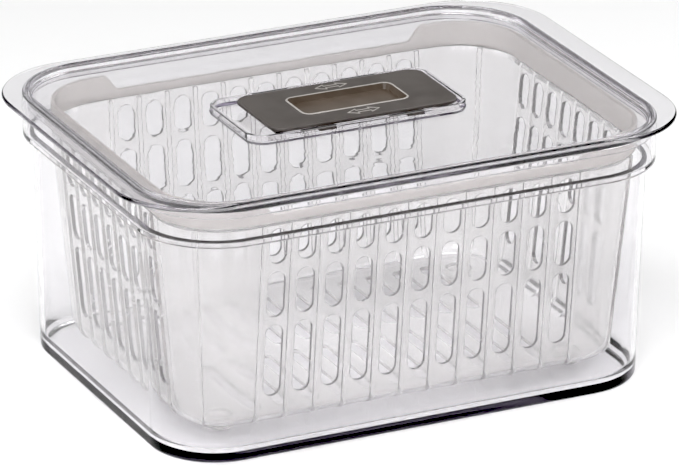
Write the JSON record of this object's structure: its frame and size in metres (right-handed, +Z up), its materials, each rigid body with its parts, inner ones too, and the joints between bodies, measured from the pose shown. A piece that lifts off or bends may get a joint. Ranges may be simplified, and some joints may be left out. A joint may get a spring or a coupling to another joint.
{
  "type": "fridge bin",
  "caption": "Clear fridge storage bin with a lift-out slotted drain basket, a lift-off lid and a sliding vent in the lid.",
  "frame": {"origin": "middle of the underside, on the surface that the bin stands on", "axes": "+X along the long side, +Z up, front (long side) faces -Y"},
  "size_m": [0.3, 0.2154, 0.1385],
  "materials": {
    "clear_bin": "clear, polished",
    "clear_basket": "clear, slightly milky",
    "clear_lid": "clear, polished",
    "smoke_vent": "satin, smoky grey-brown"
  },
  "bodies": {
    "bin": {"bin_body": "clear_bin"},
    "basket": {"basket": "clear_basket"},
    "lid": {"lid": "clear_lid"},
    "vent": {"vent_slider": "smoke_vent"}
  },
  "joints": [
    {"name": "basket_lift", "type": "slide", "parent": "bin", "child": "basket", "axis": [0, 0, 1], "range_m": [0, 0.14]},
    {"name": "lid_lift", "type": "slide", "parent": "basket", "child": "lid", "axis": [0, 0, 1], "range_m": [0, 0.06]},
    {"name": "vent_slide", "type": "slide", "parent": "lid", "child": "vent", "axis": [-1, 0, 0], "range_m": [0, 0.01]}
  ]
}
